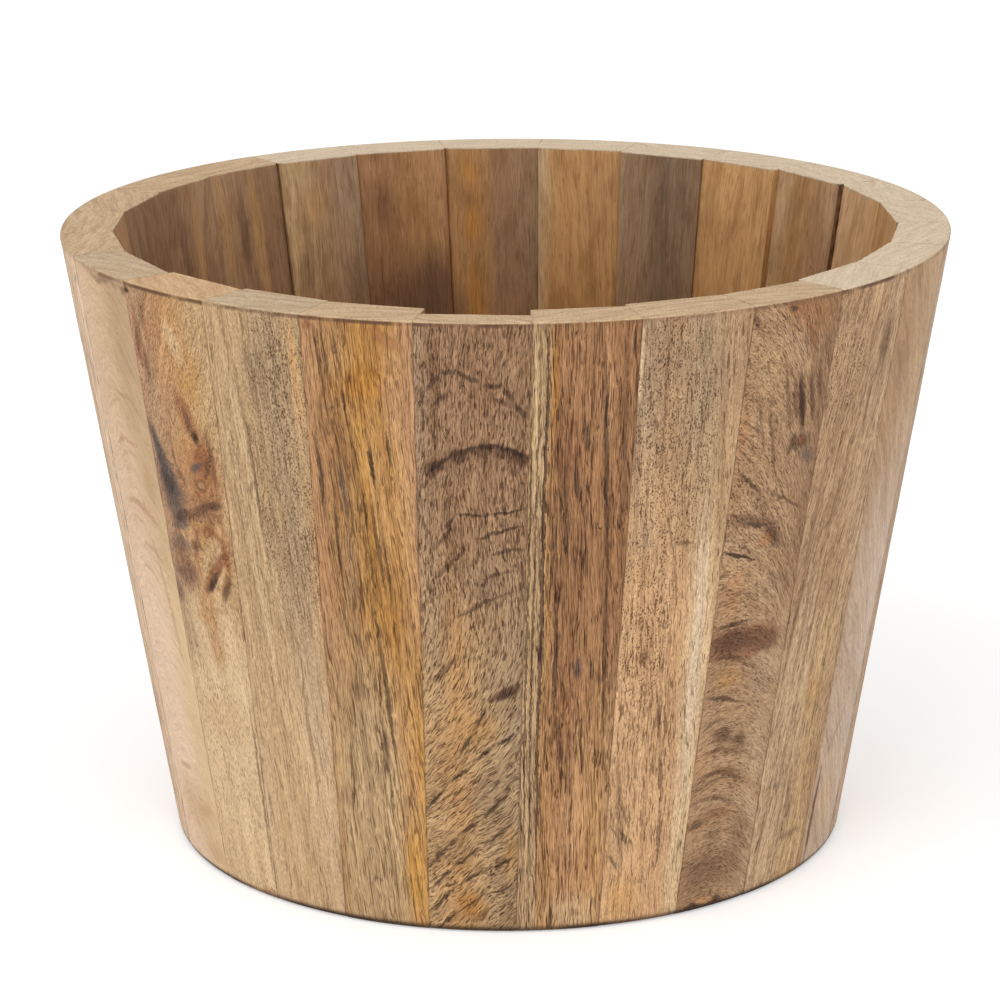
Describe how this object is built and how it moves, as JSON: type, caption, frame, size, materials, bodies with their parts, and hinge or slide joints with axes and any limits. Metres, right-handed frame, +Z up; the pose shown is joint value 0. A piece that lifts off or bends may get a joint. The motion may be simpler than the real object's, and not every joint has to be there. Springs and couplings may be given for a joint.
{
  "type": "wooden flower pot",
  "caption": "Tapered round flower pot of upright wooden staves glued edge to edge, turned smooth outside, with flat inner faces and a boarded floor in a groove.",
  "frame": {"origin": "centre of the foot ring, on the surface the pot stands on", "axes": "+Z up through the open mouth, -Y the front that the picture shows, +X to its right"},
  "size_m": [0.2497, 0.2498, 0.176],
  "materials": {
    "pale_wood": "matte",
    "golden_wood": "matte",
    "tan_wood": "matte",
    "grey_brown_wood": "matte",
    "red_brown_wood": "matte",
    "brown_wood": "matte",
    "floor_wood": "matte"
  },
  "bodies": {
    "root": {"stave_01": "pale_wood", "stave_02": "golden_wood", "stave_03": "tan_wood", "stave_04": "golden_wood", "stave_05": "grey_brown_wood", "stave_06": "red_brown_wood", "stave_07": "tan_wood", "stave_08": "brown_wood", "stave_09": "tan_wood", "stave_10": "pale_wood", "stave_11": "tan_wood", "stave_12": "golden_wood", "stave_13": "golden_wood", "stave_14": "grey_brown_wood", "stave_15": "golden_wood", "stave_16": "grey_brown_wood", "stave_17": "golden_wood", "stave_18": "brown_wood", "stave_19": "red_brown_wood", "stave_20": "grey_brown_wood", "stave_21": "brown_wood", "stave_22": "red_brown_wood", "stave_23": "tan_wood", "stave_24": "golden_wood", "stave_25": "pale_wood", "floor_board_1": "floor_wood", "floor_board_2": "floor_wood", "floor_board_3": "floor_wood", "floor_board_4": "floor_wood", "floor_board_5": "floor_wood"}
  },
  "joints": []
}
